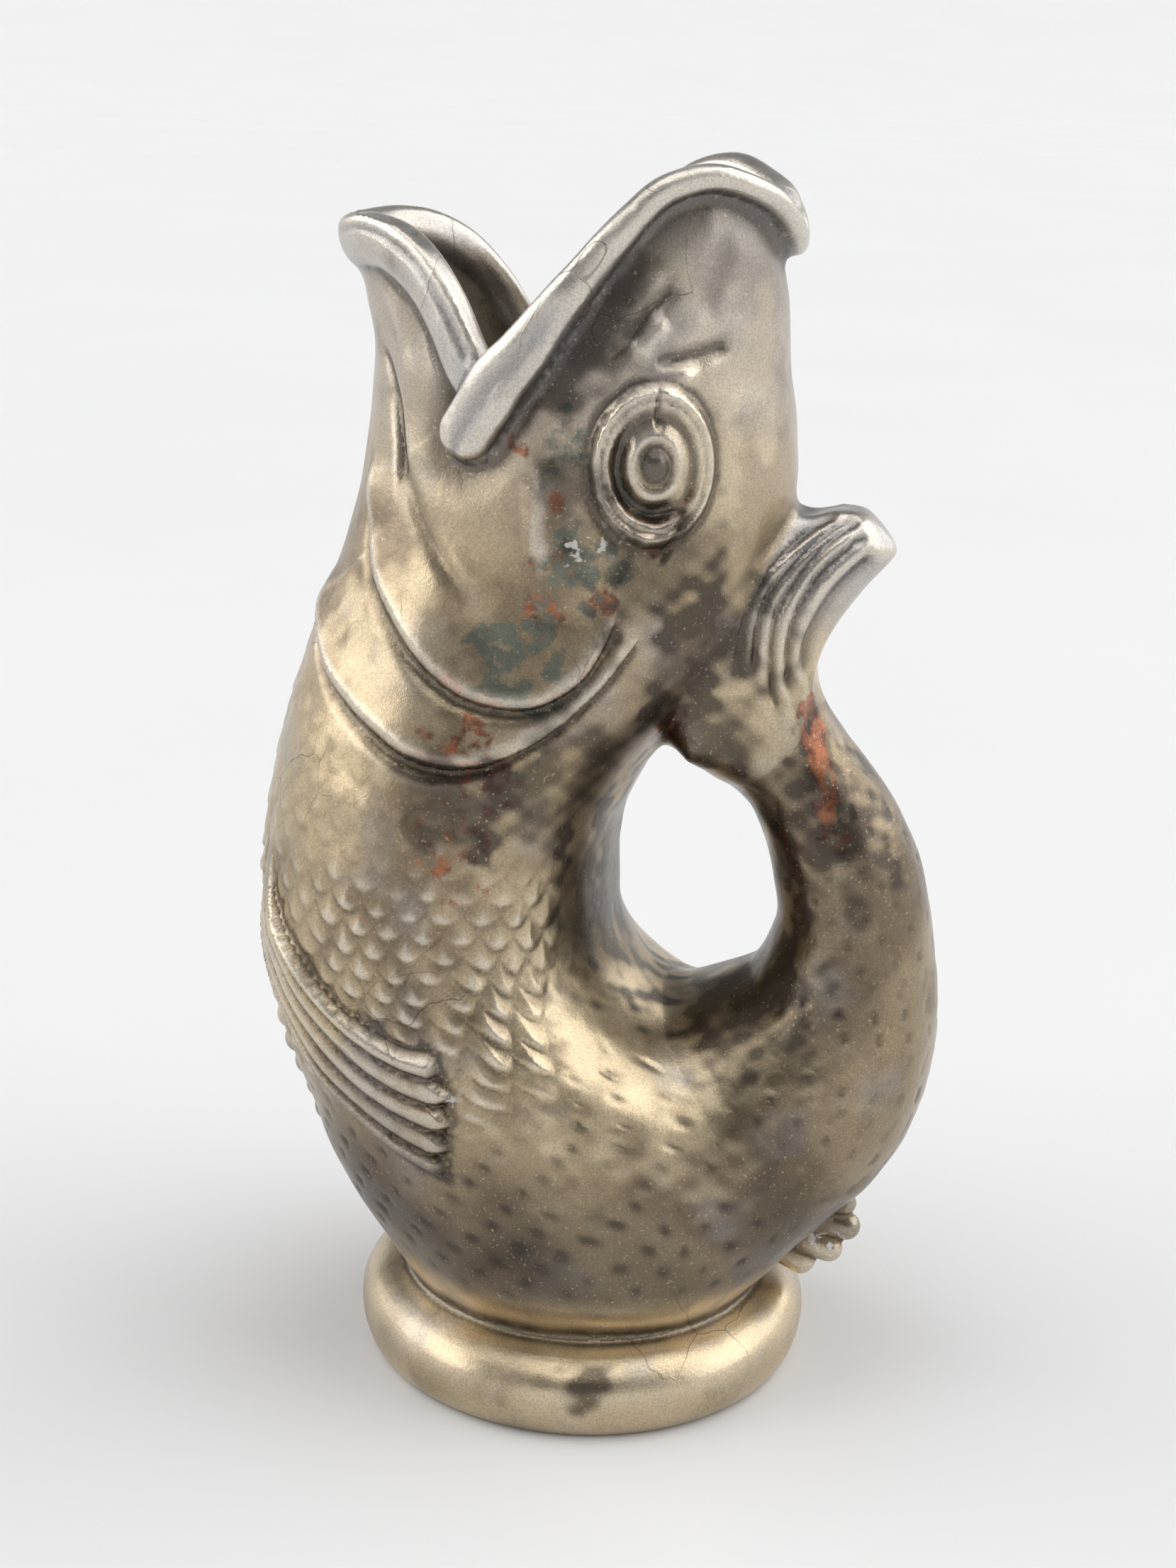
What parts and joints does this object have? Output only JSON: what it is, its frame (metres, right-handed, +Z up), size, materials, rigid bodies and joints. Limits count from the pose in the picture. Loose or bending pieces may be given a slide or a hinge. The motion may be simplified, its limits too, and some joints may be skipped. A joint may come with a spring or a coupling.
{
  "type": "gurgle jug",
  "caption": "Hollow fish-shaped pouring jug standing on a round foot, with an open mouth as the spout and a looped hollow tail as the handle.",
  "frame": {"origin": "centre of the round foot, on the surface it rests on", "axes": "+Z up, -X the way the lower jaw and belly point, +X the side of the tail handle, Y across; the fish's left side faces -Y"},
  "size_m": [0.1359, 0.0956, 0.2404],
  "materials": {
    "foot": "satin metallic lustre glaze, pewter grey with a golden crease at the top, fine crazing",
    "body": "satin metallic bronze lustre glaze with fine grain and hairline crazing, darker between the scales",
    "head": "satin metallic bronze lustre glaze, paler and greyer on the brow and the cheek",
    "lips": "satin metallic pewter lustre glaze, brighter along the rolled edge",
    "gills": "satin metallic gold bronze lustre glaze, thin copper lines along the steps",
    "gill_plates": "satin metallic bronze lustre glaze with green grey patches and copper streaks",
    "eyes": "satin metallic dark bronze lustre glaze, green grey in the grooves, copper rim",
    "tail": "satin metallic bronze lustre glaze with a red copper streak along the back edge",
    "tail_fan": "satin metallic lustre glaze, bronze in the grooves and pewter on the tip",
    "fins": "satin metallic gold bronze lustre glaze, darker between the ribs"
  },
  "bodies": {
    "root": {"foot_ring": "foot", "belly_shell": "body", "head_shell": "head", "lower_lip": "lips", "upper_lip": "lips", "left_gill_cover": "gills", "right_gill_cover": "gills", "left_gill_plate": "gill_plates", "right_gill_plate": "gill_plates", "left_eye": "eyes", "right_eye": "eyes", "tail_handle": "tail", "tail_fan": "tail_fan", "left_pectoral_fin": "fins", "right_pectoral_fin": "fins", "pelvic_fin": "fins", "anal_fin": "fins"}
  },
  "joints": []
}
